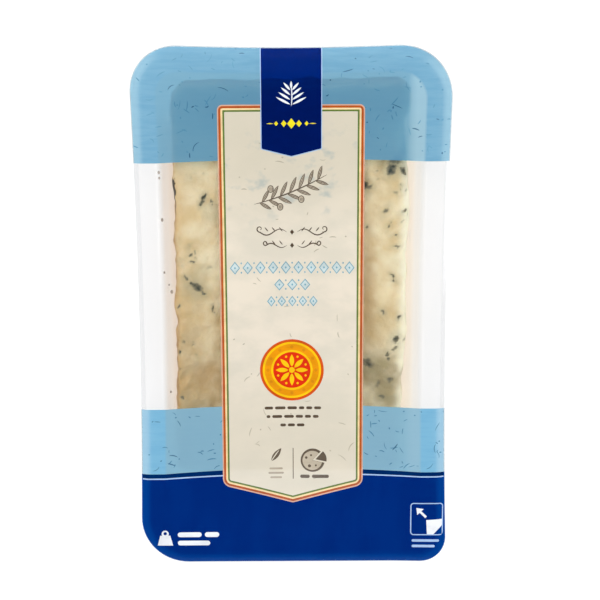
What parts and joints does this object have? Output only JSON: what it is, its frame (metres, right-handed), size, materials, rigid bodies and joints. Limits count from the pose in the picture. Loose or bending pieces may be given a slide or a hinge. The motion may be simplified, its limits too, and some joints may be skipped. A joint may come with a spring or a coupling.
{
  "type": "packed blue cheese wedge",
  "caption": "Wedge of blue-veined cheese lying in a clear thermoformed tray with a sealing flange, closed by a printed lidding film with clear windows.",
  "frame": {"origin": "on the surface the pack lies on, under the middle of its outline", "axes": "+Z up, out of the lidding film; +Y along the pack towards the cheese's thick rind end; +X to the right as the film is seen with +Y up"},
  "size_m": [0.1142, 0.1942, 0.0274],
  "materials": {
    "clear_tray": "clear thermoformed plastic, glossy, slightly hazy",
    "cheese": "moist ivory paste with blue-green mould veins and a thin tan rind",
    "lid_film": "glossy clear lidding film",
    "film_print": "printed inks under gloss film: navy, light blue, cream, ochre, orange and green"
  },
  "bodies": {
    "root": {"tray": "clear_tray", "cheese": "cheese", "lid_film": "lid_film"}
  },
  "joints": []
}
